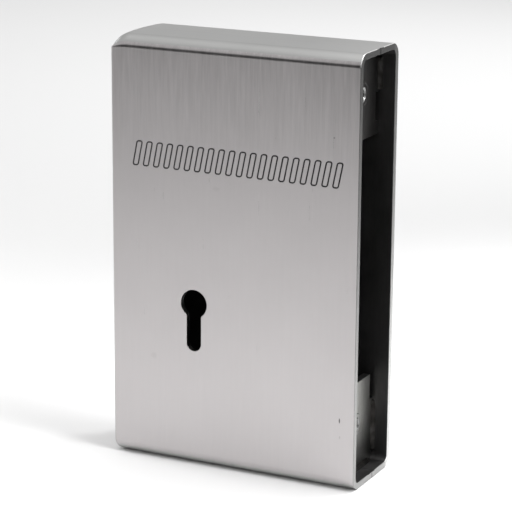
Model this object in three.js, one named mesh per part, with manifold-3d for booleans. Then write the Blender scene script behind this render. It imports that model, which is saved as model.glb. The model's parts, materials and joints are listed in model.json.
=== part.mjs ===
// A weld-in lock case for a metal gate. Two folded sheet-steel pans, a front and a
// rear one, are butt-welded along the middle of the top, the closed end and the
// bottom. The case stays open on its +X side, where a mortice lock slides in and
// screws to two bracket plates that stand back from the mouth.
//
// Frame: origin at the centre of the bottom, +X towards the open mouth, +Z up, and
// the front with its keyhole looks along -Y. All sizes are in millimetres.

import * as THREE from 'three';
import { mergeVertices } from 'three/addons/utils/BufferGeometryUtils.js';
import Module from 'manifold-3d';

const wasm = await Module();
wasm.setup();

// Case
const WIDTH = 107; // closed end to mouth
const DEPTH = 36; // front face to rear face
const HEIGHT = 172;
const SHEET = 2.5; // wall thickness
const BEND_R = 5.2; // outer radius of the bends from each face into the top and the bottom
const FRONT_END_R = 1.8; // tight bend from the front face into the closed end
const REAR_END_R = 5.2; // bend from the rear face into the closed end
const TOP_CORNER_R = 5.8; // ground corner between the top and the closed end
const FOOT_CORNER_R = 2.2; // ground corner between the bottom and the closed end
const INNER_MIN_R = 0.4; // tightest radius inside a bend

// Welds and clearances
const GAP = 0.3; // clearance between neighbouring solids
const PAST = 5; // how far a cutter runs past what it cuts
const SEAM = 1.2; // width of the butt weld at mid-depth
const CORNER_REACH = 6.2; // how far a corner weld runs along the top and down the end

// Keyhole, cut in both faces
const KEY_X = -WIDTH / 2 + 37;
const KEY_Z = 67;
const KEY_R = 5.7;
const KEY_SLOT = 6.3;
const KEY_FOOT_Z = 47.6; // lowest point of the round-ended slot
const KEY_FILLET = 1; // rounding where the slot meets the circle

// Brackets that carry the lock
const BRACKET_X = WIDTH / 2 - 6.9; // outer face, set back from the mouth
const BRACKET_T = 3;
const UPPER_BRACKET_EDGE = 135.8; // lower edge of the upper bracket
const LOWER_BRACKET_EDGE = 38.6; // upper edge of the lower bracket
const UPPER_INSERT_Z = 153.5;
const LOWER_INSERT_Z = 21;
const NOTCH = 2.6; // depth of the relief in each bracket's rear edge
const UPPER_NOTCH = [141, 152.4];
const LOWER_NOTCH = [28, LOWER_BRACKET_EDGE + PAST];
const BEAD = 1.7; // leg of the fillet welds that hold the brackets
const BEAD_HOLLOW = 0.25; // how far a bead's face is pulled in
const BEAD_TO_EDGE = 4; // from the end of a front bead to the bracket's free edge
const BEAD_TO_NOTCH = 0.6; // from the end of a rear bead to the relief

// Flush threaded inserts for M5 lock screws
const INSERT_HEAD_R = 4.7;
const INSERT_HEAD_H = 1.4;
const INSERT_BODY_R = 3.5;
const INSERT_BORE_R = 2.5;
const INSERT_MOUTH_R = 3.1; // chamfered lead-in
const INSERT_MOUTH_H = 0.6;
const INSERT_BULGE_R = 4.9; // swaged collar that grips the back of the bracket
const INSERT_BULGE_H = 2.6;
const INSERT_BULGE_FLAT = [0.35, 0.65]; // where the collar is widest, as parts of its length
const INSERT_LENGTH = 10;

const ARC_STEPS = 8; // segments in a quarter round
const LATHE_STEPS = 40;
const MERGE_DISTANCE = 1e-4; // vertices closer than this are one

const END_X = -WIDTH / 2;
const MOUTH_X = WIDTH / 2;
const FRONT_Y = -DEPTH / 2;
const REAR_Y = DEPTH / 2;

const steel = {
  face: { color: 0xb9b7b6, roughness: 0.38, metalness: 1 },
  weld: { color: 0xa9a8a7, roughness: 0.45, metalness: 1 },
  bracket: { color: 0x8c8b8a, roughness: 0.5, metalness: 1 },
  bead: { color: 0x7c7975, roughness: 0.55, metalness: 1 },
  insert: { color: 0xc9c8c4, roughness: 0.25, metalness: 1 },
};

// ---- solids -----------------------------------------------------------------

function toSolid(geometry) {
  const bare = geometry.index ? geometry.toNonIndexed() : geometry.clone();
  for (const name of Object.keys(bare.attributes)) {
    if (name !== 'position') bare.deleteAttribute(name);
  }
  const merged = mergeVertices(bare, MERGE_DISTANCE);
  return new wasm.Manifold(new wasm.Mesh({
    numProp: 3,
    vertProperties: new Float32Array(merged.attributes.position.array),
    triVerts: new Uint32Array(merged.index.array),
  }));
}

function toMesh(name, solid, look) {
  const { vertProperties, triVerts, numProp } = solid.getMesh();
  const positions = new Float32Array((vertProperties.length / numProp) * 3);
  for (let i = 0; i < positions.length; i += 1) {
    positions[i] = vertProperties[Math.floor(i / 3) * numProp + (i % 3)];
  }
  const geometry = new THREE.BufferGeometry();
  geometry.setAttribute('position', new THREE.BufferAttribute(positions, 3));
  geometry.setIndex(new THREE.BufferAttribute(new Uint32Array(triVerts), 1));
  geometry.computeVertexNormals();
  const mesh = new THREE.Mesh(geometry, new THREE.MeshStandardMaterial(look));
  mesh.name = name;
  return mesh;
}

function box([x0, x1], [y0, y1], [z0, z1]) {
  const geometry = new THREE.BoxGeometry(x1 - x0, y1 - y0, z1 - z0);
  geometry.translate((x0 + x1) / 2, (y0 + y1) / 2, (z0 + z1) / 2);
  return toSolid(geometry);
}

// A rectangle from (a0, b0) to (a1, b1). radii are those of its four corners, in the
// order low-low, high-low, high-high, low-high; a radius of 0 leaves a square corner.
function roundedRect([a0, a1], [b0, b1], radii) {
  const corners = [[a0, b0, 1, 1], [a1, b0, -1, 1], [a1, b1, -1, -1], [a0, b1, 1, -1]];
  const shape = new THREE.Shape();
  corners.forEach(([a, b, towardsA, towardsB], i) => {
    const r = radii[i];
    const start = Math.PI * (1 + i / 2);
    if (r === 0) {
      if (i === 0) shape.moveTo(a, b);
      else shape.lineTo(a, b);
    } else {
      shape.absarc(a + r * towardsA, b + r * towardsB, r, start, start + Math.PI / 2, false);
    }
  });
  shape.closePath();
  return shape;
}

function extrude(shape, depth) {
  return new THREE.ExtrudeGeometry(shape, { depth, bevelEnabled: false, curveSegments: ARC_STEPS });
}

// Extrusions along each axis: the outline's own two axes are y and z, x and z, or x and y.
function alongX(shape, [x0, x1]) {
  const geometry = extrude(shape, x1 - x0);
  geometry.applyMatrix4(new THREE.Matrix4().set(0, 0, 1, x0, 1, 0, 0, 0, 0, 1, 0, 0, 0, 0, 0, 1));
  return toSolid(geometry);
}

function alongY(shape, [y0, y1]) {
  const geometry = extrude(shape, y1 - y0);
  geometry.applyMatrix4(new THREE.Matrix4().set(1, 0, 0, 0, 0, 0, -1, y1, 0, 1, 0, 0, 0, 0, 0, 1));
  return toSolid(geometry);
}

function alongZ(shape, [z0, z1]) {
  const geometry = extrude(shape, z1 - z0);
  geometry.translate(0, 0, z0);
  return toSolid(geometry);
}

// A solid of revolution about an axis parallel to X through y = 0 at height z. Its
// profile holds [radius, x] pairs, and its outer side runs towards lower x.
function turnedAlongX(profile, z) {
  const points = profile.map(([r, x]) => new THREE.Vector2(r, -x));
  const geometry = new THREE.LatheGeometry([...points, points[0]], LATHE_STEPS);
  geometry.rotateZ(Math.PI / 2);
  geometry.translate(0, 0, z);
  return toSolid(geometry);
}

// ---- the case ---------------------------------------------------------------

// The case's form shrunk by inset on every closed side, running on to x = mouth. It is
// what the end-on, front-on and top-down outlines have in common.
function caseForm(inset, mouth) {
  const inner = (r) => Math.max(r - inset, INNER_MIN_R);
  const spanX = [END_X + inset, mouth];
  const spanY = [FRONT_Y + inset, REAR_Y - inset];
  const spanZ = [inset, HEIGHT - inset];
  const bend = inner(BEND_R);
  const endOn = roundedRect(spanY, spanZ, [bend, bend, bend, bend]);
  const frontOn = roundedRect(spanX, spanZ, [inner(FOOT_CORNER_R), 0, 0, inner(TOP_CORNER_R)]);
  const topDown = roundedRect(spanX, spanY, [inner(FRONT_END_R), 0, 0, inner(REAR_END_R)]);
  return alongX(endOn, spanX)
    .intersect(alongY(frontOn, spanY))
    .intersect(alongZ(topDown, spanZ));
}

// The circle and its round-ended slot, with small fillets where they meet.
function keyholeShape() {
  const half = KEY_SLOT / 2;
  const footZ = KEY_FOOT_Z + half;
  const reach = KEY_R + KEY_FILLET;
  const offset = half + KEY_FILLET;
  const angle = Math.asin(offset / reach);
  const filletZ = KEY_Z - reach * Math.cos(angle);
  const shape = new THREE.Shape();
  shape.absarc(KEY_X, KEY_Z, KEY_R, angle - Math.PI / 2, 1.5 * Math.PI - angle, false);
  shape.absarc(KEY_X - offset, filletZ, KEY_FILLET, Math.PI / 2 - angle, 0, true);
  shape.absarc(KEY_X, footZ, half, Math.PI, 2 * Math.PI, false);
  shape.absarc(KEY_X + offset, filletZ, KEY_FILLET, Math.PI, Math.PI / 2 + angle, true);
  shape.closePath();
  return shape;
}

function caseWall() {
  const hollow = caseForm(SHEET, MOUTH_X + PAST);
  const keyholes = alongY(keyholeShape(), [FRONT_Y - PAST, REAR_Y + PAST]);
  return caseForm(0, MOUTH_X).subtract(hollow).subtract(keyholes);
}

// The space of one corner weld: the edge between the top or the bottom and the closed
// end, from the face's bend to the seam. side is -1 for the front pan, 1 for the rear.
function cornerSpace(side, level, grow) {
  const reach = CORNER_REACH + grow;
  const nearSeam = side * (SEAM / 2 + GAP - grow);
  const nearFace = side * (DEPTH / 2 - BEND_R - GAP + grow);
  const spanY = [Math.min(nearSeam, nearFace), Math.max(nearSeam, nearFace)];
  const spanZ = level === 'top' ? [HEIGHT - reach, HEIGHT + PAST] : [-PAST, reach];
  return box([END_X - PAST, END_X + reach], spanY, spanZ);
}

function pan(wall, side) {
  const nearSeam = side * (SEAM / 2 + GAP);
  const face = side * (DEPTH / 2 + PAST);
  const spanY = [Math.min(nearSeam, face), Math.max(nearSeam, face)];
  const half = box([END_X - PAST, MOUTH_X + PAST], spanY, [-PAST, HEIGHT + PAST]);
  return wall.intersect(half)
    .subtract(cornerSpace(side, 'top', GAP))
    .subtract(cornerSpace(side, 'foot', GAP));
}

// One run of the butt weld at mid-depth: over the top, down the closed end or under the
// bottom. The top and bottom runs turn the corner on to the closed end.
function seamWeld(wall, run) {
  const spans = {
    top: [HEIGHT - CORNER_REACH, HEIGHT + PAST],
    end: [CORNER_REACH + GAP, HEIGHT - CORNER_REACH - GAP],
    bottom: [-PAST, CORNER_REACH],
  };
  const strip = [-SEAM / 2, SEAM / 2];
  return wall.intersect(box([END_X - PAST, MOUTH_X + PAST], strip, spans[run]));
}

// ---- brackets ---------------------------------------------------------------

// The insert's outline, up the bore and back along the outside. The head is a flush cone
// and the collar behind the plate is swaged out.
function insertProfile() {
  const front = BRACKET_X;
  const back = BRACKET_X - BRACKET_T - GAP;
  return [
    [INSERT_BORE_R, front - INSERT_LENGTH],
    [INSERT_BORE_R, front - INSERT_MOUTH_H],
    [INSERT_MOUTH_R, front],
    [INSERT_HEAD_R, front],
    [INSERT_BODY_R, front - INSERT_HEAD_H],
    [INSERT_BODY_R, back],
    ...INSERT_BULGE_FLAT.map((part) => [INSERT_BULGE_R, back - INSERT_BULGE_H * part]),
    [INSERT_BODY_R, back - INSERT_BULGE_H],
    [INSERT_BODY_R, front - INSERT_LENGTH],
  ];
}

// The countersunk hole in a bracket that takes an insert.
function insertHole(z) {
  const throat = BRACKET_X - INSERT_HEAD_H;
  const slope = (INSERT_HEAD_R - INSERT_BODY_R) / INSERT_HEAD_H;
  return turnedAlongX([
    [0, BRACKET_X + PAST],
    [INSERT_HEAD_R + GAP + slope * PAST, BRACKET_X + PAST],
    [INSERT_HEAD_R + GAP, BRACKET_X],
    [INSERT_BODY_R + GAP, throat],
    [INSERT_BODY_R + GAP, BRACKET_X - BRACKET_T - PAST],
    [0, BRACKET_X - BRACKET_T - PAST],
  ], z);
}

function bracket([z0, z1], insertZ, notch) {
  const innerY = DEPTH / 2 - SHEET - GAP;
  const spanX = [BRACKET_X - BRACKET_T, BRACKET_X];
  const plate = box(spanX, [-innerY, innerY], [z0, z1]);
  const relief = box([spanX[0] - PAST, spanX[1] + PAST], [innerY - NOTCH, innerY + PAST], notch);
  return plate.intersect(caseForm(SHEET + GAP, MOUTH_X)).subtract(relief).subtract(insertHole(insertZ));
}

// A fillet weld's cross-section in the corner at the origin: two legs and a face that is
// pulled in a little.
function beadSection(towardsA, towardsB) {
  const pull = BEAD / 2 - BEAD_HOLLOW;
  const shape = new THREE.Shape();
  shape.moveTo(0, 0);
  shape.lineTo(BEAD * towardsA, 0);
  shape.quadraticCurveTo(pull * towardsA, pull * towardsB, 0, BEAD * towardsB);
  shape.closePath();
  return shape;
}

// A bead up the corner between a bracket's outer face and the front or rear wall.
function sideBead(side, spanZ) {
  const geometry = extrude(beadSection(1, -side), spanZ[1] - spanZ[0]);
  geometry.translate(BRACKET_X + GAP, side * (DEPTH / 2 - SHEET - GAP), spanZ[0]);
  return toSolid(geometry);
}

// A bead across the corner between a bracket's outer face and the top or the bottom.
function crossBead(level, halfSpan) {
  const shape = beadSection(1, level === 'top' ? -1 : 1);
  const geometry = extrude(shape, 2 * halfSpan);
  const wallZ = level === 'top' ? HEIGHT - SHEET - GAP : SHEET + GAP;
  geometry.applyMatrix4(new THREE.Matrix4().set(
    1, 0, 0, BRACKET_X + GAP, 0, 0, -1, halfSpan, 0, 1, 0, wallZ, 0, 0, 0, 1,
  ));
  return toSolid(geometry);
}

// ---- assembly ---------------------------------------------------------------

const wall = caseWall();
const model = new THREE.Group();
model.name = 'weld_in_lock_case';

function addPiece(name, solid, look) {
  model.add(toMesh(name, solid, look));
}

addPiece('front_shell', pan(wall, -1), steel.face);
addPiece('rear_shell', pan(wall, 1), steel.face);
for (const run of ['top', 'end', 'bottom']) {
  addPiece(`${run}_seam_weld`, seamWeld(wall, run), steel.weld);
}
for (const [sideName, side] of [['front', -1], ['rear', 1]]) {
  for (const level of ['top', 'foot']) {
    const solid = wall.intersect(cornerSpace(side, level, 0));
    addPiece(`${sideName}_${level}_corner_weld`, solid, steel.weld);
  }
}

const ceiling = HEIGHT - SHEET - GAP;
const floor = SHEET + GAP;
const innerBend = BEND_R - SHEET; // keeps the beads clear of the bends inside
const brackets = [
  {
    name: 'upper', level: 'top', span: [UPPER_BRACKET_EDGE, ceiling], insertZ: UPPER_INSERT_Z,
    notch: UPPER_NOTCH,
    beads: {
      front: [UPPER_BRACKET_EDGE + BEAD_TO_EDGE, ceiling - innerBend],
      rear: [UPPER_NOTCH[1] + BEAD_TO_NOTCH, ceiling - innerBend],
    },
  },
  {
    name: 'lower', level: 'foot', span: [floor, LOWER_BRACKET_EDGE], insertZ: LOWER_INSERT_Z,
    notch: LOWER_NOTCH,
    beads: {
      front: [floor + innerBend, LOWER_BRACKET_EDGE - BEAD_TO_EDGE],
      rear: [floor + innerBend, LOWER_NOTCH[0] - BEAD_TO_NOTCH],
    },
  },
];
const crossHalf = DEPTH / 2 - SHEET - GAP - innerBend;

for (const { name, level, span, insertZ, notch, beads } of brackets) {
  addPiece(`${name}_lock_bracket`, bracket(span, insertZ, notch), steel.bracket);
  addPiece(`${name}_threaded_insert`, turnedAlongX(insertProfile(), insertZ), steel.insert);
  addPiece(`${name}_front_bead`, sideBead(-1, beads.front), steel.bead);
  addPiece(`${name}_rear_bead`, sideBead(1, beads.rear), steel.bead);
  addPiece(`${name}_cross_bead`, crossBead(level, crossHalf), steel.bead);
}

export default model;
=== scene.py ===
"""Looks for a weld-in gate lock case: brushed stainless sheet, ground welds, dull bracket
plates, bright threaded inserts and rippled fillet beads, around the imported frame."""

import json
import math

import bmesh
import bpy
from mathutils import Euler, Matrix, Vector


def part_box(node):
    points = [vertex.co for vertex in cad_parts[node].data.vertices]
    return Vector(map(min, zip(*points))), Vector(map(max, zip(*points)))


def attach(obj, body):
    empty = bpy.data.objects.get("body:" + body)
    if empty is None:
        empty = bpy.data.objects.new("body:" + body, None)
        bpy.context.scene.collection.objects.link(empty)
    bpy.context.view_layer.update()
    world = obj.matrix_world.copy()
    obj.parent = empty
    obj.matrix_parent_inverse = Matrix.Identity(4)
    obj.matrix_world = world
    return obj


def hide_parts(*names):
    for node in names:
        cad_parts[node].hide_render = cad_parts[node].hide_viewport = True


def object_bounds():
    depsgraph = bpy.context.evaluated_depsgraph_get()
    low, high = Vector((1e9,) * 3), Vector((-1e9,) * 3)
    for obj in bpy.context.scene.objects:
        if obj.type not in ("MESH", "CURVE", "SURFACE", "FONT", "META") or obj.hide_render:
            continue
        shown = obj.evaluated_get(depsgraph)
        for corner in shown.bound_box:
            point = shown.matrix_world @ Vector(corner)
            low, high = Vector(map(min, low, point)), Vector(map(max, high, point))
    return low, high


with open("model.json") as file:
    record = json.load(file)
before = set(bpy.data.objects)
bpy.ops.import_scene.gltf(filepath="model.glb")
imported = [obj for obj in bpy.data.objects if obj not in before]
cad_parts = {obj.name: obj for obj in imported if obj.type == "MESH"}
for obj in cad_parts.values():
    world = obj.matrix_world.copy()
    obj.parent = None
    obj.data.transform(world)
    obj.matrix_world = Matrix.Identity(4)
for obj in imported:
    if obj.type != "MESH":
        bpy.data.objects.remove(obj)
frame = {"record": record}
cad_lo, cad_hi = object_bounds()

MM = 0.001
END_X, FRONT_Y, BASE_Z = cad_lo
MOUTH_X, REAR_Y, TOP_Z = cad_hi

# ---- dimensions, read from the frame where it holds them ---------------------


def node_size(node):
    lo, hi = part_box(node)
    return hi - lo


SHEET = node_size("end_seam_weld").x
SEAM = node_size("end_seam_weld").y
CORNER = node_size("front_top_corner_weld").x
BEND_R = 5.2 * MM
FRONT_END_R = 1.8 * MM
REAR_END_R = 5.2 * MM
TOP_CORNER_R = 5.8 * MM
TOP_CORNER_ARCH = 3 * MM  # how much the top corner's radius grows from its middle to its ends
ARCH_NOMINAL = 0.2  # where it is TOP_CORNER_R, as a squared share of the way to the end
FOOT_CORNER_R = 2.2 * MM
INNER_MIN_R = 0.4 * MM
CORNER_MIN_R = 0.05 * MM
WIDEST_CORNER = 9 * MM  # the roundings at the closed end all lie within this
PAST = 5 * MM  # how far a cutter runs past what it cuts
JUST = 0.01 * MM  # tolerance when a point is compared with a plane
MERGE_DISTANCE = 1e-7

KEY_R = 5.7 * MM
KEY_SLOT = 6.3 * MM
KEY_FILLET = 1 * MM
KEY_FOOT_Z = 47.6 * MM

BRACKET_BACK_X, BRACKET_X = (corner.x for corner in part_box("upper_lock_bracket"))
INSERT_LENGTH, INSERT_BULGE, _ = node_size("upper_threaded_insert")

BEND_STEPS = 16
CORNER_STEPS = 36
FLAT_STEPS = 8
DEBURR = 0.22 * MM
DEBURR_ANGLE = math.radians(40)
SMOOTH_ANGLE = math.radians(32)


def opening(name):
    boxes = frame["record"]["physics"]["openings"]
    found = next(b for b in boxes if b["name"] == name)
    lo, hi = (Vector(corner) for corner in found["box_m"])
    return lo, hi


def centre(lo, hi):
    return (lo + hi) / 2


KEY_X = centre(*opening("front_keyhole_round")).x
KEY_Z = centre(*opening("front_keyhole_round")).z

# ---- mesh helpers ------------------------------------------------------------


def add_object(name, mesh):
    piece = bpy.data.objects.new(name, mesh)
    bpy.context.scene.collection.objects.link(piece)
    return piece


def from_bmesh(name, bm):
    bmesh.ops.recalc_face_normals(bm, faces=bm.faces)
    mesh = bpy.data.meshes.new(name)
    bm.to_mesh(mesh)
    bm.free()
    return add_object(name, mesh)


def bake_modifiers(piece):
    """Puts what the piece's modifiers make into its own mesh."""
    graph = bpy.context.evaluated_depsgraph_get()
    made = bpy.data.meshes.new_from_object(piece.evaluated_get(graph))
    piece.modifiers.clear()
    piece.data = made


def discard(piece):
    bpy.data.objects.remove(piece, do_unlink=True)


def combine(piece, tool, operation):
    """Cuts, joins or intersects piece with tool, and removes tool."""
    step = piece.modifiers.new("cut", "BOOLEAN")
    step.operation, step.object, step.solver = operation, tool, "EXACT"
    bake_modifiers(piece)
    discard(tool)


def copy_of(piece, name):
    return add_object(name, piece.data.copy())


def block(name, lo, hi):
    bm = bmesh.new()
    bmesh.ops.create_cube(bm, size=1)
    for v in bm.verts:
        v.co = Vector(hi[i] if v.co[i] > 0 else lo[i] for i in range(3))
    return from_bmesh(name, bm)


def bridge(bm, rings):
    """Joins each ring of vertices to the next with four-sided faces."""
    for one, two in zip(rings, rings[1:]):
        for k in range(len(one)):
            n = (k + 1) % len(one)
            bm.faces.new((one[k], one[n], two[n], two[k]))


def prism(name, outline, ends):
    """A closed solid along Y, from ends[0] to ends[1], with an outline of (x, z) points."""
    bm = bmesh.new()
    rings = [[bm.verts.new((x, y, z)) for x, z in outline] for y in ends]
    bridge(bm, rings)
    bm.faces.new(rings[0][::-1])
    bm.faces.new(rings[1])
    return from_bmesh(name, bm)


def turned(name, profile, z, steps=64):
    """A solid of revolution about an axis along X at height z. profile holds (radius, x)
    pairs and closes on itself, or starts and ends on the axis."""
    bm = bmesh.new()
    rings = []
    for radius, x in profile:
        if radius == 0:
            rings.append([bm.verts.new((x, 0, z))] * steps)
            continue
        ring = []
        for k in range(steps):
            a = math.tau * k / steps
            ring.append(bm.verts.new((x, radius * math.cos(a), z + radius * math.sin(a))))
        rings.append(ring)
    pairs = list(zip(rings, rings[1:]))
    if profile[0][0] > 0:
        pairs.append((rings[-1], rings[0]))
    for one, two in pairs:
        for k in range(steps):
            n = (k + 1) % steps
            corners = dict.fromkeys((one[k], one[n], two[n], two[k]))
            if len(corners) > 2:
                bm.faces.new(corners)
    return from_bmesh(name, bm)


def deburr(piece, wanted, width=DEBURR, steps=3):
    """Rounds the sharp edges for which wanted(point) holds at both ends."""
    bm = bmesh.new()
    bm.from_mesh(piece.data)
    bmesh.ops.remove_doubles(bm, verts=bm.verts, dist=MERGE_DISTANCE)
    sharp = [
        e for e in bm.edges
        if len(e.link_faces) == 2
        and e.calc_face_angle() > DEBURR_ANGLE
        and all(wanted(v.co) for v in e.verts)
    ]
    bmesh.ops.bevel(
        bm, geom=sharp, offset=width, offset_type="OFFSET", segments=steps,
        profile=0.5, affect="EDGES", clamp_overlap=False,
    )
    bm.to_mesh(piece.data)
    bm.free()


def finish_surface(piece):
    """Smooth bends, flat faces and crisp edges."""
    mesh = piece.data
    for face in mesh.polygons:
        face.use_smooth = True
    mesh.set_sharp_from_angle(angle=SMOOTH_ANGLE)
    step = piece.modifiers.new("normals", "WEIGHTED_NORMAL")
    step.keep_sharp, step.weight = True, 100
    bake_modifiers(piece)


# ---- the case ----------------------------------------------------------------


def drop(radius, u, inset):
    """How far a rounded edge lies below its face, at u from the face that it meets. The
    radius is the outer one, for a form shrunk by inset."""
    radius = max(radius - inset, INNER_MIN_R)
    return radius - math.sqrt(radius ** 2 - (radius - u) ** 2) if u < radius else 0


def top_corner_radius(y):
    """The hand-ground corner is rounder at its two ends than in the middle."""
    return TOP_CORNER_R + TOP_CORNER_ARCH * ((y / REAR_Y) ** 2 - ARCH_NOMINAL)


def slice_of_case(u, inset):
    """The case's cross-section at u from the closed end, as (y, z) points. It is built as
    four rounded corners and the flats between them, where rise runs from 0 at the side
    walls to 1 at the top or the bottom."""
    bend = max(BEND_R - inset, INNER_MIN_R)
    corners = []
    for k, (side, level) in enumerate(((-1, -1), (1, -1), (1, 1), (-1, 1))):
        in_y = drop(FRONT_END_R if side < 0 else REAR_END_R, u, inset)
        face, reach = side * (REAR_Y - inset - in_y), max(bend - in_y, CORNER_MIN_R)
        turns = [math.pi * (1 + (k + t / BEND_STEPS) / 2) for t in range(BEND_STEPS + 1)]
        corners.append([
            (face + reach * (math.cos(a) - side), level, abs(math.sin(a))) for a in turns
        ])

    def flat(one, two):
        return [
            (one[0] + (two[0] - one[0]) * t / FLAT_STEPS, one[1], 1)
            for t in range(1, FLAT_STEPS)
        ]

    around = corners[0] + flat(corners[0][-1], corners[1][0]) + corners[1]
    around += corners[2] + flat(corners[2][-1], corners[3][0]) + corners[3]
    points = []
    for y, level, rise in around:
        in_z = drop(FOOT_CORNER_R if level < 0 else top_corner_radius(y), u, inset)
        face = TOP_Z - inset - in_z if level > 0 else BASE_Z + inset + in_z
        points.append((y, face - level * max(bend - in_z, CORNER_MIN_R) * (1 - rise)))
    return points


def case_block(name, inset, mouth):
    """The case's outer form shrunk by inset, running on to x = mouth."""
    start = END_X + inset
    depths = [
        WIDEST_CORNER * (1 - math.cos(math.pi / 2 * k / CORNER_STEPS))
        for k in range(CORNER_STEPS + 1)
    ]
    bm = bmesh.new()
    rings = [
        [bm.verts.new((start + u, y, z)) for y, z in slice_of_case(u, inset)]
        for u in (*depths, mouth - start)
    ]
    bridge(bm, rings)
    bm.faces.new(rings[0][::-1])
    bm.faces.new(rings[-1])
    return from_bmesh(name, bm)


def arc(cx, cz, r, start, end, steps):
    turn = (end - start) / steps
    return [
        (cx + r * math.cos(start + turn * k), cz + r * math.sin(start + turn * k))
        for k in range(steps + 1)
    ]


def keyhole_outline():
    half = KEY_SLOT / 2
    reach, offset = KEY_R + KEY_FILLET, half + KEY_FILLET
    angle = math.asin(offset / reach)
    fillet_z = KEY_Z - reach * math.cos(angle)
    foot_z = KEY_FOOT_Z + half
    quarter = math.pi / 2
    points = arc(KEY_X, KEY_Z, KEY_R, angle - quarter, 3 * quarter - angle, 72)
    points += arc(KEY_X - offset, fillet_z, KEY_FILLET, quarter - angle, 0, 8)
    points += arc(KEY_X, foot_z, half, math.pi, math.tau, 36)
    points += arc(KEY_X + offset, fillet_z, KEY_FILLET, math.pi, quarter + angle, 8)
    return points


def case_wall():
    wall = case_block("case_wall", 0, MOUTH_X)
    combine(wall, case_block("hollow", SHEET, MOUTH_X + PAST), "DIFFERENCE")
    keyholes = prism("keyholes", keyhole_outline(), (FRONT_Y - PAST, REAR_Y + PAST))
    combine(wall, keyholes, "DIFFERENCE")
    return wall


def part_of(wall, name, lo, hi):
    piece = copy_of(wall, name)
    combine(piece, block("region", lo, hi), "INTERSECT")
    return piece


# How far each region of the case reaches past the outside.
OUT_LO = Vector((END_X - PAST, FRONT_Y - PAST, BASE_Z - PAST))
OUT_HI = Vector((MOUTH_X + PAST, REAR_Y + PAST, TOP_Z + PAST))
CORNER_NEAR_FACE = abs(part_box("front_top_corner_weld")[0].y)


def corner_region(side, level):
    near_seam, near_face = side * SEAM / 2, side * CORNER_NEAR_FACE
    ys = sorted((near_seam, near_face))
    zs = (TOP_Z - CORNER, OUT_HI.z) if level == "top" else (OUT_LO.z, BASE_Z + CORNER)
    return (OUT_LO.x, ys[0], zs[0]), (END_X + CORNER, ys[1], zs[1])


def near_key(point):
    """True within 1 mm of a keyhole, seen from the front."""
    beside = abs(point.x - KEY_X) < KEY_R + MM
    return beside and KEY_FOOT_Z - MM < point.z < KEY_Z + KEY_R + MM


def on_cut_edge(point):
    """True on the mouth's rim and on both edges of the keyholes."""
    if point.x > MOUTH_X - JUST:
        return abs(point.y) > SEAM / 2 + JUST
    return near_key(point) and abs(point.y) > SEAM


def shell(wall, name, side):
    ys = sorted((side * SEAM / 2, side * (REAR_Y + PAST)))
    piece = part_of(wall, name, (OUT_LO.x, ys[0], OUT_LO.z), (OUT_HI.x, ys[1], OUT_HI.z))
    for level in ("top", "foot"):
        combine(piece, block("corner", *corner_region(side, level)), "DIFFERENCE")
    deburr(piece, on_cut_edge)
    return piece


# ---- the engraved band -------------------------------------------------------

BAND_Z = (120.4 * MM, 130.7 * MM)
BAND_X = (END_X + 9.7 * MM, END_X + 100.8 * MM)
BAND_BARS = 20
BAND_SPACE = 1.65 * MM
BAND_SLANT = 0.2
BAND_R = 1.1 * MM
BAND_MIN_R = 0.3 * MM
STROKE_TOP = 0.62 * MM
STROKE_FOOT = 0.3 * MM
STROKE_DEPTH = 0.32 * MM


def bar_outline(x0, x1, grow):
    """A slanted rounded bar between x0 and x1, moved outwards by grow."""
    z0, z1 = BAND_Z[0] - grow, BAND_Z[1] + grow
    x0, x1, r = x0 - grow, x1 + grow, max(BAND_R + grow, BAND_MIN_R)
    quarter = math.pi / 2
    points = []
    corners = [(x0 + r, z0 + r), (x1 - r, z0 + r), (x1 - r, z1 - r), (x0 + r, z1 - r)]
    for k, (cx, cz) in enumerate(corners):
        points += arc(cx, cz, r, math.pi + k * quarter, math.pi + (k + 1) * quarter, 8)
    middle = sum(BAND_Z) / 2
    return [(x + BAND_SLANT * (z - middle), z) for x, z in points]


def add_groove(bm, x0, x1):
    """A closed ring just inside a bar's outline that tapers into the sheet."""
    above, below = FRONT_Y - STROKE_DEPTH / 2, FRONT_Y + STROKE_DEPTH
    slope = (STROKE_TOP - STROKE_FOOT) / 2 / STROKE_DEPTH
    proud = STROKE_TOP / 2 + slope * STROKE_DEPTH / 2
    foot = STROKE_FOOT / 2
    rings = []
    for y, half in ((above, proud), (above, -proud), (below, -foot), (below, foot)):
        outline = bar_outline(x0, x1, half - STROKE_TOP / 2)
        rings.append([bm.verts.new((x, y, z)) for x, z in outline])
    bridge(bm, rings + rings[:1])


def engrave(piece):
    slope_room = BAND_SLANT * (BAND_Z[1] - BAND_Z[0]) / 2
    pitch = (BAND_X[1] - BAND_X[0] - 2 * slope_room + BAND_SPACE) / BAND_BARS
    bm = bmesh.new()
    for k in range(BAND_BARS):
        x0 = BAND_X[0] + slope_room + k * pitch
        add_groove(bm, x0, x0 + pitch - BAND_SPACE)
    combine(piece, from_bmesh("band_tool", bm), "DIFFERENCE")


# ---- brackets, inserts and beads ---------------------------------------------

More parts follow.
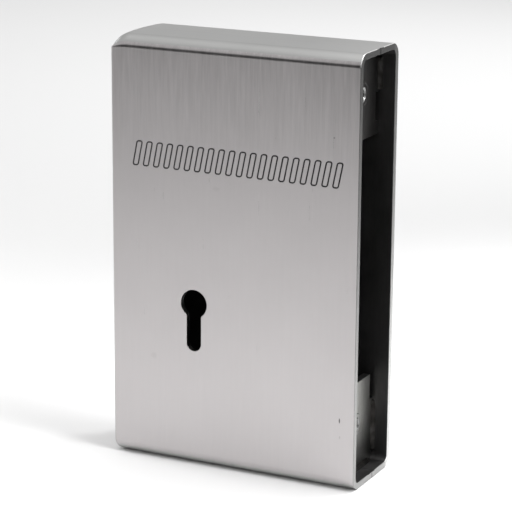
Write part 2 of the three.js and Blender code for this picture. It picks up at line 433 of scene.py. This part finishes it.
INSERT_HEAD_R = 4.7 * MM
INSERT_HEAD_H = 1.4 * MM
INSERT_BODY_R = 3.5 * MM
INSERT_BORE_R = 2.5 * MM
INSERT_MOUTH_R = 3.1 * MM
INSERT_MOUTH_H = 0.6 * MM
INSERT_EDGE = 0.15 * MM
INSERT_COLLAR_H = 2.6 * MM
INSERT_COLLAR_EDGE = 0.3 * MM
FIT = 0.06 * MM  # clearance round a bracket
BRACKET_GROW = 0.24 * MM  # how far a bracket runs past its CAD solid, towards the flange
INSERT_GAP = 0.22 * MM
THREAD_PITCH = 0.8 * MM
THREAD_DEPTH = 0.43 * MM
NOTCH = 2.6 * MM
NOTCHES = {"upper": (141 * MM, 152.4 * MM), "lower": (28 * MM, 40 * MM)}
BEAD_RIPPLE = 1.15 * MM
BEAD_LEG = 0.9  # as a share of the CAD bead's leg
BEAD_TIP = 0.12  # what is left of the leg at a bead's two ends
BEAD_COLUMNS = 12
BEAD_MIN_ROWS = 24
ROWS_PER_RIPPLE = 8


def insert_height(level):
    lo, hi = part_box(f"{level}_threaded_insert")
    return centre(lo, hi).z


def bracket(level):
    lo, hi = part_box(f"{level}_lock_bracket")
    wall_y = REAR_Y - SHEET - FIT
    lo, hi = Vector((lo.x, -wall_y, lo.z)), Vector((hi.x, wall_y, hi.z))
    if level == "upper":
        hi.z += BRACKET_GROW
    else:
        lo.z -= BRACKET_GROW
    plate = block(f"mill_{level}_bracket", lo, hi)
    combine(plate, case_block("inner_form", SHEET + FIT, MOUTH_X), "INTERSECT")
    z0, z1 = NOTCHES[level]
    relief = block("relief", (lo.x - PAST, wall_y - NOTCH, z0), (hi.x + PAST, wall_y + PAST, z1))
    combine(plate, relief, "DIFFERENCE")
    z = insert_height(level)
    slope = (INSERT_HEAD_R - INSERT_BODY_R) / INSERT_HEAD_H
    throat = BRACKET_X - INSERT_HEAD_H
    hole = [
        (0, lo.x - PAST), (INSERT_BODY_R + INSERT_GAP, lo.x - PAST),
        (INSERT_BODY_R + INSERT_GAP, throat),
        (INSERT_HEAD_R + INSERT_GAP + slope * PAST, BRACKET_X + PAST), (0, BRACKET_X + PAST),
    ]
    combine(plate, turned("hole", hole, z), "DIFFERENCE")
    deburr(plate, lambda point: True, width=0.18 * MM, steps=2)
    return plate


def insert(level):
    """The insert with a real thread: its bore's radius follows a helix."""
    z = insert_height(level)
    front, back = BRACKET_X, BRACKET_X - INSERT_LENGTH
    collar = BRACKET_BACK_X - 0.05 * MM
    bulge_r, bulge_h, edge = INSERT_BULGE / 2, INSERT_COLLAR_H, INSERT_COLLAR_EDGE
    outside = [
        (INSERT_MOUTH_R, front), (INSERT_HEAD_R - INSERT_EDGE, front),
        (INSERT_HEAD_R, front - INSERT_EDGE), (INSERT_BODY_R, front - INSERT_HEAD_H),
        (INSERT_BODY_R, collar), (bulge_r - edge, collar - edge),
        (bulge_r, collar - 0.35 * bulge_h), (bulge_r, collar - 0.65 * bulge_h),
        (INSERT_BODY_R, collar - bulge_h), (INSERT_BODY_R, back + edge),
        (INSERT_BODY_R - edge, back),
    ]
    bore_steps = 96
    bore_front = front - INSERT_MOUTH_H
    bore = [
        (INSERT_BORE_R, back + (bore_front - back) * k / bore_steps)
        for k in range(bore_steps + 1)
    ]
    piece = turned(f"bright_{level}_insert", outside + bore, z, steps=72)
    for v in piece.data.vertices:
        radius = math.hypot(v.co.y, v.co.z - z)
        if abs(radius - INSERT_BORE_R) > JUST:
            continue
        angle = math.atan2(v.co.z - z, v.co.y) / math.tau
        phase = (v.co.x / THREAD_PITCH - angle) % 1
        fade = min(1, (v.co.x - back) / THREAD_PITCH, (bore_front - v.co.x) / THREAD_PITCH)
        deeper = THREAD_DEPTH * max(0, fade) * (1 - abs(2 * phase - 1))
        scale = (radius + deeper) / radius
        v.co.y *= scale
        v.co.z = z + (v.co.z - z) * scale
    return piece


def bead(name, node):
    """A fillet weld with overlapping ripples, in the corner next to its CAD bead."""
    lo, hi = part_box(node)
    size, middle = hi - lo, centre(lo, hi)
    run, away = (2, 1) if size.z > size.y else (1, 2)
    if middle[away] > centre(cad_lo, cad_hi)[away]:
        corner, inward = cad_hi[away] - SHEET, -1
    else:
        corner, inward = cad_lo[away] + SHEET, 1
    rows = max(BEAD_MIN_ROWS, int(size[run] / BEAD_RIPPLE * ROWS_PER_RIPPLE))
    bm = bmesh.new()
    rings = []
    for row in range(rows + 1):
        t = row / rows
        along = lo[run] + size[run] * t
        wave = (along / BEAD_RIPPLE) % 1
        ends = math.sqrt(max(0, 1 - abs(2 * t - 1) ** 14))
        wander = 0.04 * math.sin(along / (2.3 * MM)) + 0.03 * math.sin(along / (0.9 * MM) + 1)
        leg = size.x * (BEAD_LEG + wander) * max(ends, BEAD_TIP)
        ring = []
        for column in range(BEAD_COLUMNS + 1):
            a = math.pi / 2 * column / BEAD_COLUMNS
            hump = math.sin(2 * a)
            reach = leg * (1 - hump * (0.3 - 0.06 * hump - 0.05 * (1 - wave) * hump))
            # The ripples are crescents, so the middle of the bead lags behind its toes.
            lag = BEAD_RIPPLE * 0.5 * hump * min(1, 4 * t)
            point = Vector((BRACKET_X + reach * math.cos(a), 0, 0))
            point[run] = min(max(along - lag, lo[run]), hi[run])
            point[away] = corner + inward * reach * math.sin(a)
            ring.append(bm.verts.new(point))
        foot = Vector((BRACKET_X, 0, 0))
        foot[run], foot[away] = along, corner
        ring.append(bm.verts.new(foot))
        rings.append(ring)
    bridge(bm, rings)
    bm.faces.new(rings[0])
    bm.faces.new(rings[-1][::-1])
    return from_bmesh(name, bm)


# ---- materials ---------------------------------------------------------------


GRAIN_MAP = "grain"
RANGE_SOCKETS = ("From Min", "From Max", "To Min", "To Max")
MIX_A, MIX_B, MIX_RESULT = 6, 7, 2  # the Mix node's sockets for colours


class Nodes:
    """Short calls for building one material's node tree."""

    def __init__(self, name):
        self.material = bpy.data.materials.new(name)
        self.material.use_nodes = True
        self.tree = self.material.node_tree
        self.tree.nodes.clear()
        self.shader = self.add("ShaderNodeBsdfPrincipled")
        out = self.add("ShaderNodeOutputMaterial")
        self.link(self.shader.outputs["BSDF"], out.inputs["Surface"])
        self.place = self.add("ShaderNodeTexCoord").outputs["Object"]

    def add(self, kind, **settings):
        node = self.tree.nodes.new(kind)
        for key, value in settings.items():
            setattr(node, key, value)
        return node

    def link(self, source, target):
        self.tree.links.new(source, target)

    def noise(self, scale, detail=3, roughness=0.55, offset=(0, 0, 0)):
        """Noise with its own scale, in cycles per metre, along each axis. 0 to 1."""
        mapping = self.add("ShaderNodeMapping")
        mapping.inputs["Scale"].default_value = scale
        mapping.inputs["Location"].default_value = offset
        self.link(self.place, mapping.inputs["Vector"])
        node = self.add("ShaderNodeTexNoise")
        node.inputs["Scale"].default_value = 1
        node.inputs["Detail"].default_value = detail
        node.inputs["Roughness"].default_value = roughness
        self.link(mapping.outputs["Vector"], node.inputs["Vector"])
        return node.outputs["Fac"]

    def ranged(self, value, low, high, to_low, to_high):
        node = self.add("ShaderNodeMapRange")
        for key, number in zip(RANGE_SOCKETS, (low, high, to_low, to_high)):
            node.inputs[key].default_value = number
        self.link(value, node.inputs["Value"])
        return node.outputs["Result"]

    def spread(self, noise, low, high):
        """Stretches noise, which mostly lies between 0.3 and 0.7, to low and high."""
        return self.ranged(noise, 0.3, 0.7, low, high)

    def math(self, operation, a, b):
        node = self.add("ShaderNodeMath", operation=operation)
        for socket, value in zip(node.inputs, (a, b)):
            if isinstance(value, (int, float)):
                socket.default_value = value
            else:
                self.link(value, socket)
        return node.outputs["Value"]

    def tint(self, colour, value):
        """A colour whose brightness is multiplied by value."""
        node = self.add("ShaderNodeMix", data_type="RGBA", blend_type="MULTIPLY")
        node.inputs["Factor"].default_value = 1
        node.inputs[MIX_A].default_value = (*colour, 1)
        self.link(value, node.inputs[MIX_B])
        return node.outputs[MIX_RESULT]

    def along(self, axis):
        """The position along one axis, in metres."""
        node = self.add("ShaderNodeSeparateXYZ")
        self.link(self.place, node.inputs["Vector"])
        return node.outputs[axis]

    def mark(self, x, z, half_width, half_height, dark):
        """1 everywhere but in one small oval around (x, z) mm, where it falls by dark."""
        off = self.add("ShaderNodeVectorMath", operation="SUBTRACT")
        off.inputs[1].default_value = (x * MM, FRONT_Y, z * MM)
        self.link(self.place, off.inputs[0])
        scaled = self.add("ShaderNodeVectorMath", operation="MULTIPLY")
        scaled.inputs[1].default_value = (1 / (half_width * MM), 1 / SHEET, 1 / (half_height * MM))
        self.link(off.outputs["Vector"], scaled.inputs[0])
        reach = self.add("ShaderNodeVectorMath", operation="LENGTH")
        self.link(scaled.outputs["Vector"], reach.inputs[0])
        return self.ranged(reach.outputs["Value"], 0.6, 1.1, 1 - dark, 1)

    def bump(self, height, distance, strength=1):
        node = self.add("ShaderNodeBump")
        node.inputs["Strength"].default_value = strength
        node.inputs["Distance"].default_value = distance
        self.link(height, node.inputs["Height"])
        self.link(node.outputs["Normal"], self.shader.inputs["Normal"])


# The strokes of the brushing are faint below one height and full above another, and so is the
# painted light next to the mouth.
STROKES_FROM = 120 * MM
STROKES_FULL = 165 * MM
FAINT = 0.12
MOUTH_LIGHT_FROM_X = 25 * MM


def along_grain(grain, fine, long):
    """Noise scales that are coarse along the grain's axis and fine across it."""
    return tuple(long if axis == grain else fine for axis in "XYZ")


# Small marks in the front face: x, z, half width, half height in mm, and how dark.
FACE_MARKS = (
    (47.2, 28.5, 0.32, 1.15, 0.8),
    (47.4, 21.7, 0.3, 0.7, 0.2),
    (43.1, 139.8, 0.4, 0.45, 0.4),
    (-6.7, 114.7, 1.6, 1.0, 0.05),
    (-34.5, 43.3, 1.6, 1.4, 0.06),
)


def brushed(name, grain, colour, roughness, strokes, mouth=0, marks=()):
    """Brushed stainless sheet: short strokes along the grain, strongest near the top,
    faint clouds and fine scratches. mouth sets a painted light next to the mouth, near the
    top: how much brighter it is there, and a negative value paints shade instead. Its
    highlights spread across the grain, which is the u direction of the grain map."""
    n = Nodes(name)
    n.shader.inputs["Metallic"].default_value = 1
    n.shader.inputs["Anisotropic"].default_value = 0.8
    tangent = n.add("ShaderNodeTangent", direction_type="UV_MAP", uv_map=GRAIN_MAP)
    n.link(tangent.outputs["Tangent"], n.shader.inputs["Tangent"])
    fine = n.noise(along_grain(grain, 2600, 70), detail=2)
    stroke = n.noise(along_grain(grain, 760, 48), detail=3, roughness=0.65, offset=(3, 7, 5))
    cloud = n.noise((34, 34, 26), detail=3, offset=(1, 2, 9))
    scratch = n.noise(along_grain(grain, 900, 30), detail=1, offset=(11, 4, 2))
    scratch = n.ranged(scratch, 0.70, 0.76, 0, 1)
    strokes_and_light_rise = n.ranged(n.along("Z"), STROKES_FROM, STROKES_FULL, FAINT, 1)
    lines = n.math(
        "ADD", n.spread(stroke, -strokes, strokes), n.spread(fine, -strokes / 2, strokes / 2),
    )
    lines = n.math("ADD", lines, n.math("MULTIPLY", scratch, strokes))
    tone = n.math("ADD", n.math("MULTIPLY", lines, strokes_and_light_rise), n.spread(cloud, 0.985, 1.015))
    # Painted light next to the mouth, near the top (painted shade where mouth is negative).
    painted_mouth_light = n.ranged(n.along("X"), MOUTH_LIGHT_FROM_X, MOUTH_X, 0, mouth)
    painted_mouth_light = n.math("MULTIPLY", strokes_and_light_rise, painted_mouth_light)
    tone = n.math("ADD", tone, painted_mouth_light)
    for mark in marks:
        tone = n.math("MULTIPLY", tone, n.mark(*mark))
    n.link(n.tint(colour, tone), n.shader.inputs["Base Color"])
    rough = n.math(
        "ADD", n.spread(stroke, roughness - 0.02, roughness + 0.02), n.spread(fine, -0.03, 0.03),
    )
    rough = n.math("SUBTRACT", rough, n.math("MULTIPLY", scratch, 0.02))
    n.link(rough, n.shader.inputs["Roughness"])
    relief = n.math("ADD", n.math("MULTIPLY", fine, 0.7), n.math("MULTIPLY", stroke, 0.3))
    n.bump(relief, 0.008 * MM, strength=0.5)
    return n.material


def cut_edge(name, colour, foot, top, rear):
    """Sawn and deburred sheet edge: short cross lines. foot, top and rear set a painted light:
    how bright it is at the foot, at the top and next to the rear."""
    n = Nodes(name)
    n.shader.inputs["Metallic"].default_value = 1
    lines = n.noise((300, 2200, 1500), detail=3)
    # Painted light and shade: climb changes the brightness with height and behind brightens it
    # next to the rear.
    climb = n.ranged(n.along("Z"), BASE_Z, TOP_Z, foot, top)
    tone = n.math("MULTIPLY", n.spread(lines, 0.85, 1.12), climb)
    behind = n.ranged(n.along("Y"), REAR_Y - 2 * SHEET, REAR_Y - SHEET, 1, rear)
    n.link(n.tint(colour, n.math("MULTIPLY", tone, behind)), n.shader.inputs["Base Color"])
    n.link(n.spread(lines, 0.36, 0.52), n.shader.inputs["Roughness"])
    n.bump(lines, 0.03 * MM, strength=0.7)
    return n.material


def engraved(name, colour):
    """The engraved groove's tool marks, on a dark colour that paints the shade in the grooves,
    with painted light brightest at the closed end and darker towards the mouth.
    """
    n = Nodes(name)
    n.shader.inputs["Metallic"].default_value = 1
    tooled = n.noise((1800, 1800, 1800), detail=2)
    # Painted light along the band: brighter at the closed end, darker towards the mouth.
    fade = n.ranged(n.along("X"), END_X, MOUTH_X, 2.4, 0.9)
    tone = n.math("MULTIPLY", n.spread(tooled, 0.85, 1.1), fade)
    n.link(n.tint(colour, tone), n.shader.inputs["Base Color"])
    n.link(n.spread(tooled, 0.45, 0.6), n.shader.inputs["Roughness"])
    n.bump(tooled, 0.01 * MM, strength=0.5)
    return n.material


def mill_plate(name, colour, roughness, painted_shade_below=1, heights=(BASE_Z, TOP_Z)):
    """Dull rolled plate with stains. Its fourth argument paints shade: how bright it is below
    the two heights, between which it grows to 1."""
    n = Nodes(name)
    n.shader.inputs["Metallic"].default_value = 1
    stain = n.noise((90, 90, 60), detail=4, offset=(5, 1, 8))
    rolled = n.noise((1400, 1400, 120), detail=3)
    tone = n.math("MULTIPLY", n.spread(stain, 0.82, 1.1), n.spread(rolled, 0.93, 1.06))
    # Painted shade: darker below the two heights.
    tone = n.math("MULTIPLY", tone, n.ranged(n.along("Z"), *heights, painted_shade_below, 1))
    n.link(n.tint(colour, tone), n.shader.inputs["Base Color"])
    n.link(n.spread(stain, roughness + 0.08, roughness - 0.08), n.shader.inputs["Roughness"])
    n.bump(rolled, 0.02 * MM, strength=0.6)
    return n.material


def bead_steel(name):
    """Unground weld: a trace of straw heat tint over dark grey."""
    n = Nodes(name)
    n.shader.inputs["Metallic"].default_value = 1
    heat = n.noise((260, 260, 260), detail=4)
    ramp = n.add("ShaderNodeValToRGB")
    stops = ramp.color_ramp.elements
    stops[0].position, stops[0].color = 0.32, (0.01, 0.0098, 0.0095, 1)
    stops[1].position, stops[1].color = 0.7, (0.045, 0.044, 0.043, 1)
    straw = stops.new(0.5)
    straw.color = (0.022, 0.0205, 0.019, 1)
    n.link(heat, ramp.inputs["Fac"])
    n.link(ramp.outputs["Color"], n.shader.inputs["Base Color"])
    n.link(n.spread(heat, 0.55, 0.35), n.shader.inputs["Roughness"])
    n.bump(n.noise((3000, 3000, 3000), detail=2), 0.03 * MM, strength=0.5)
    return n.material


def turned_steel(name):
    """Bright lathe-turned steel: fine rings along X."""
    n = Nodes(name)
    n.shader.inputs["Metallic"].default_value = 1
    rings = n.noise((6000, 40, 40), detail=2)
    tone = n.tint((0.26, 0.26, 0.257), n.spread(rings, 0.92, 1.05))
    n.link(tone, n.shader.inputs["Base Color"])
    n.link(n.spread(rings, 0.2, 0.3), n.shader.inputs["Roughness"])
    n.bump(rings, 0.01 * MM, strength=0.5)
    return n.material


def map_grain(piece):
    """A UV map whose u runs across the brushing on every side of the case."""
    mesh = piece.data
    layer = mesh.uv_layers.new(name=GRAIN_MAP)
    for face in mesh.polygons:
        across = "y" if max(abs(face.normal.z), abs(face.normal.x)) > 0.5 else "x"
        along = "x" if abs(face.normal.z) > 0.5 else "z"
        for loop in face.loop_indices:
            at = mesh.vertices[mesh.loops[loop].vertex_index].co
            layer.data[loop].uv = (getattr(at, across), getattr(at, along))


FACE_TONE = (0.536, 0.514, 0.516)
TOP_TONE = (0.5, 0.5, 0.494)
WELD_TONE = (0.5, 0.494, 0.49)
# mouth paints shade on the face and light on the flange and welds, next to the mouth near the top.
face_steel = brushed("brushed_face", "Z", FACE_TONE, 0.32, 0.09, mouth=-0.14, marks=FACE_MARKS)
flange_steel = brushed("brushed_flange", "X", TOP_TONE, 0.33, 0.02, mouth=0.15)
# The inside of the sheet is painted dark: painted shade in the hollow.
inside_shade_steel = mill_plate("inside_of_sheet_painted_shade", (0.1, 0.098, 0.098), 0.42)
# The rim's edges carry painted shade towards the top and painted light at the foot and next to the
# rear.
rim_shade_and_light_steel = cut_edge("sheet_edge_painted_light", (0.2, 0.199, 0.197), foot=1.9, top=0.5, rear=1.7)
# A near-white painted highlight along the top of the rim's edge.
filed_highlight_steel = cut_edge("filed_edge_painted_highlight", (0.86, 0.858, 0.85), foot=1, top=1, rear=1)
# Near-black painted shade on the keyhole's cut edges.
keyhole_shade_steel = cut_edge("keyhole_edge_painted_shade", (0.014, 0.0138, 0.0135), foot=1, top=1, rear=1)
# A dark colour paints the shade in the engraved grooves.
groove_shade_steel = engraved("engraved_groove_painted_shade", (0.06, 0.058, 0.058))
weld_steel = brushed("ground_weld", "X", WELD_TONE, 0.36, 0.025, mouth=0.15)
# Both brackets are the same plate: the upper one's dark colour is painted shade, the lower one's
# light colour is painted light, with painted shade below 25 mm.
upper_plate_shaded = mill_plate("upper_bracket_plate_painted_shade", (0.065, 0.063, 0.062), 0.4)
lower_plate_lit = mill_plate(
    "lower_bracket_plate_painted_light", (0.3, 0.3, 0.285), 0.4, painted_shade_below=0.2, heights=(10 * MM, 25 * MM),
)
raw_steel = bead_steel("raw_bead")
bright_steel = turned_steel("turned_insert")


OUTSIDE, ACROSS, INSIDE, RIM, GROOVE, FILED_HIGHLIGHT, KEYHOLE = range(7)
RIM_DEPTH = 0.3 * MM
BELOW_FACE = 0.03 * MM


def finish_at(face, inside):
    """Which finish a face of the case has. inside is True in the hollow."""
    at, normal = face.center, face.normal
    in_band = (
        BAND_X[0] < at.x < BAND_X[1]
        and BAND_Z[0] - MM < at.z < BAND_Z[1] + MM
        and FRONT_Y + BELOW_FACE < at.y < FRONT_Y + MM
    )
    if in_band:
        return GROOVE
    if normal.x > 0.2 and at.x > MOUTH_X - RIM_DEPTH:
        # The rim's top edge gets the painted highlight.
        return FILED_HIGHLIGHT if at.z > TOP_Z - BEND_R and normal.z > 0.1 else RIM
    if near_key(at) and abs(normal.y) < 0.3:
        return KEYHOLE
    if inside:
        return INSIDE
    return ACROSS if abs(normal.z) > 0.5 else OUTSIDE


def dress_case_piece(piece, outside, across):
    """Gives each face of a piece of the case the finish of the side that it lies on."""
    finishes = (outside, across, inside_shade_steel, rim_shade_and_light_steel, groove_shade_steel, filed_highlight_steel, keyhole_shade_steel)
    for material in finishes:
        piece.data.materials.append(material)
    map_grain(piece)
    deep = SHEET * 0.6
    hollow_lo = Vector((END_X + deep, FRONT_Y + deep, BASE_Z + deep))
    hollow_hi = Vector((MOUTH_X + PAST, REAR_Y - deep, TOP_Z - deep))
    middle = centre(cad_lo, cad_hi)
    for face in piece.data.polygons:
        at = face.center
        below = all(hollow_lo[i] < at[i] < hollow_hi[i] for i in range(3))
        face.material_index = finish_at(face, below and face.normal.dot(at - middle) < 0)


# ---- pieces ------------------------------------------------------------------


def place(piece, node):
    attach(piece, "root")
    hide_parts(node)


wall = case_wall()
front = shell(wall, "brushed_front_shell", -1)
engrave(front)
rear = shell(wall, "brushed_rear_shell", 1)
for piece, node in ((front, "front_shell"), (rear, "rear_shell")):
    dress_case_piece(piece, face_steel, flange_steel)
    finish_surface(piece)
    place(piece, node)

SEAM_STEP = 0.12 * MM  # a seam's end is dressed a little lower than the sheet's edge
SEAM_SPANS = {
    "top": (TOP_Z - CORNER, OUT_HI.z),
    "end": (BASE_Z + CORNER, TOP_Z - CORNER),
    "bottom": (OUT_LO.z, BASE_Z + CORNER),
}
for run, (z0, z1) in SEAM_SPANS.items():
    piece = part_of(
        wall, f"ground_{run}_seam",
        (OUT_LO.x, -SEAM / 2, z0), (MOUTH_X - SEAM_STEP, SEAM / 2, z1),
    )
    dress_case_piece(piece, weld_steel, weld_steel)
    finish_surface(piece)
    place(piece, f"{run}_seam_weld")

for side_name, side in (("front", -1), ("rear", 1)):
    for level in ("top", "foot"):
        piece = part_of(wall, f"ground_{side_name}_{level}_corner", *corner_region(side, level))
        dress_case_piece(piece, weld_steel, weld_steel)
        finish_surface(piece)
        place(piece, f"{side_name}_{level}_corner_weld")
discard(wall)

for level, plate_steel in (("upper", upper_plate_shaded), ("lower", lower_plate_lit)):
    plate = bracket(level)
    plate.data.materials.append(plate_steel)
    plate.data.materials.append(inside_shade_steel)
    for face in plate.data.polygons:
        # The plate's edges take the inside's painted shade.
        face.material_index = int(abs(face.normal.x) < 0.5)  # the plate's edges
    finish_surface(plate)
    place(plate, f"{level}_lock_bracket")
    nut = insert(level)
    nut.data.materials.append(bright_steel)
    nut.data.materials.append(plate_steel)
    for face in nut.data.polygons:
        # The flat head takes its plate's material: painted shade on the upper insert, painted
        # light on the lower.
        face.material_index = int(face.normal.x > 0.9)  # the flat head
    finish_surface(nut)
    place(nut, f"{level}_threaded_insert")
    for kind in ("front", "rear", "cross"):
        weld = bead(f"rippled_{level}_{kind}_bead", f"{level}_{kind}_bead")
        weld.data.materials.append(raw_steel)
        finish_surface(weld)
        place(weld, f"{level}_{kind}_bead")

# ---- camera, floor and light -------------------------------------------------

CAMERA_AT = (0.3726, -0.754, 0.3084)
CAMERA_TURN = math.radians(26.18)
CAMERA_DIP = math.radians(14.91)
CAMERA_ROLL = math.radians(0.4)
LENS = 154.3


def add_camera():
    data = bpy.data.cameras.new("camera")
    data.sensor_width, data.lens = 36, LENS
    data.clip_start, data.clip_end = 0.01, 50
    camera = bpy.data.objects.new("camera", data)
    camera.location = CAMERA_AT
    aim = Euler((math.pi / 2 - CAMERA_DIP, 0, CAMERA_TURN)).to_matrix()
    camera.rotation_euler = (aim @ Matrix.Rotation(CAMERA_ROLL, 3, "Z")).to_euler()
    bpy.context.scene.collection.objects.link(camera)
    bpy.context.scene.camera = camera


# The floor ends in front, where the bend at the top of the case mirrors a dark room.
FLOOR_FRONT_Y = -1.2


def add_floor():
    top, half = BASE_Z - 0.2 * MM, 4
    floor = block("floor", (-half, FLOOR_FRONT_Y, BASE_Z - 20 * MM), (half, half, top))
    n = Nodes("pale_floor")
    n.shader.inputs["Base Color"].default_value = (0.76, 0.76, 0.76, 1)
    n.shader.inputs["Roughness"].default_value = 0.9
    n.shader.inputs["Specular IOR Level"].default_value = 0.1
    floor.data.materials.append(n.material)


def aim_light(name, data, at, aim):
    light = bpy.data.objects.new(name, data)
    light.location = at
    light.rotation_euler = (Vector(aim) - Vector(at)).to_track_quat("-Z", "Y").to_euler()
    bpy.context.scene.collection.objects.link(light)


def add_spot(name, at, aim, cone, power, radius):
    data = bpy.data.lights.new(name, "SPOT")
    data.energy, data.spot_size, data.spot_blend = power, math.radians(cone), 1
    data.shadow_soft_size = radius
    aim_light(name, data, at, aim)


def add_dome(dark, strength, zenith):
    """A soft dome: dark along the front horizon, then even at strength, and brighter by
    zenith straight overhead."""
    world = bpy.data.worlds.new("studio")
    world.use_nodes = True
    tree = world.node_tree
    background = tree.nodes["Background"]
    background.inputs["Color"].default_value = (1, 1, 1, 1)
    where = tree.nodes.new("ShaderNodeTexCoord").outputs["Generated"]

    def climb(lean, low, high, to_low, to_high):
        """Grows with height plus lean times how far to the rear, between low and high."""
        along = tree.nodes.new("ShaderNodeVectorMath")
        along.operation = "DOT_PRODUCT"
        along.inputs[1].default_value = (0, lean, 1)
        step = tree.nodes.new("ShaderNodeMapRange")
        step.interpolation_type = "SMOOTHSTEP"
        for key, number in zip(RANGE_SOCKETS, (low, high, to_low, to_high)):
            step.inputs[key].default_value = number
        tree.links.new(where, along.inputs[0])
        tree.links.new(along.outputs["Value"], step.inputs["Value"])
        return step.outputs["Result"]

    total = tree.nodes.new("ShaderNodeMath")
    total.operation = "ADD"
    tree.links.new(climb(0.3, -0.04, 0.06, dark, strength), total.inputs[0])
    tree.links.new(climb(0, 0.6, 0.9, 0, zenith), total.inputs[1])
    tree.links.new(total.outputs["Value"], background.inputs["Strength"])
    bpy.context.scene.world = world


add_camera()
add_floor()
# name, place, aim, cone in degrees, watts and radius
add_spot("pool_near", (0.55, 0.05, 1.1), (-0.02, -0.05, 0), 50, 19, 0.25)
add_spot("pool_right", (0.8, -0.2, 0.9), (-0.09, -0.19, 0), 40, 42, 0.25)
add_spot("pool_behind", (0.6, 0.9, 1.2), (-0.45, 0.75, 0), 60, 60, 0.3)
add_spot("pool_mouth", (0.4, 0.5, 1.1), (0.13, 0.17, 0), 21, 100, 0.15)
add_spot("fill_left", (-0.9, 0.1, 0.45), (-0.19, 0.02, 0), 22, 21, 0.15)
add_dome(dark=0.02, strength=0.67, zenith=0.34)
bpy.context.scene.view_settings.view_transform = "Standard"
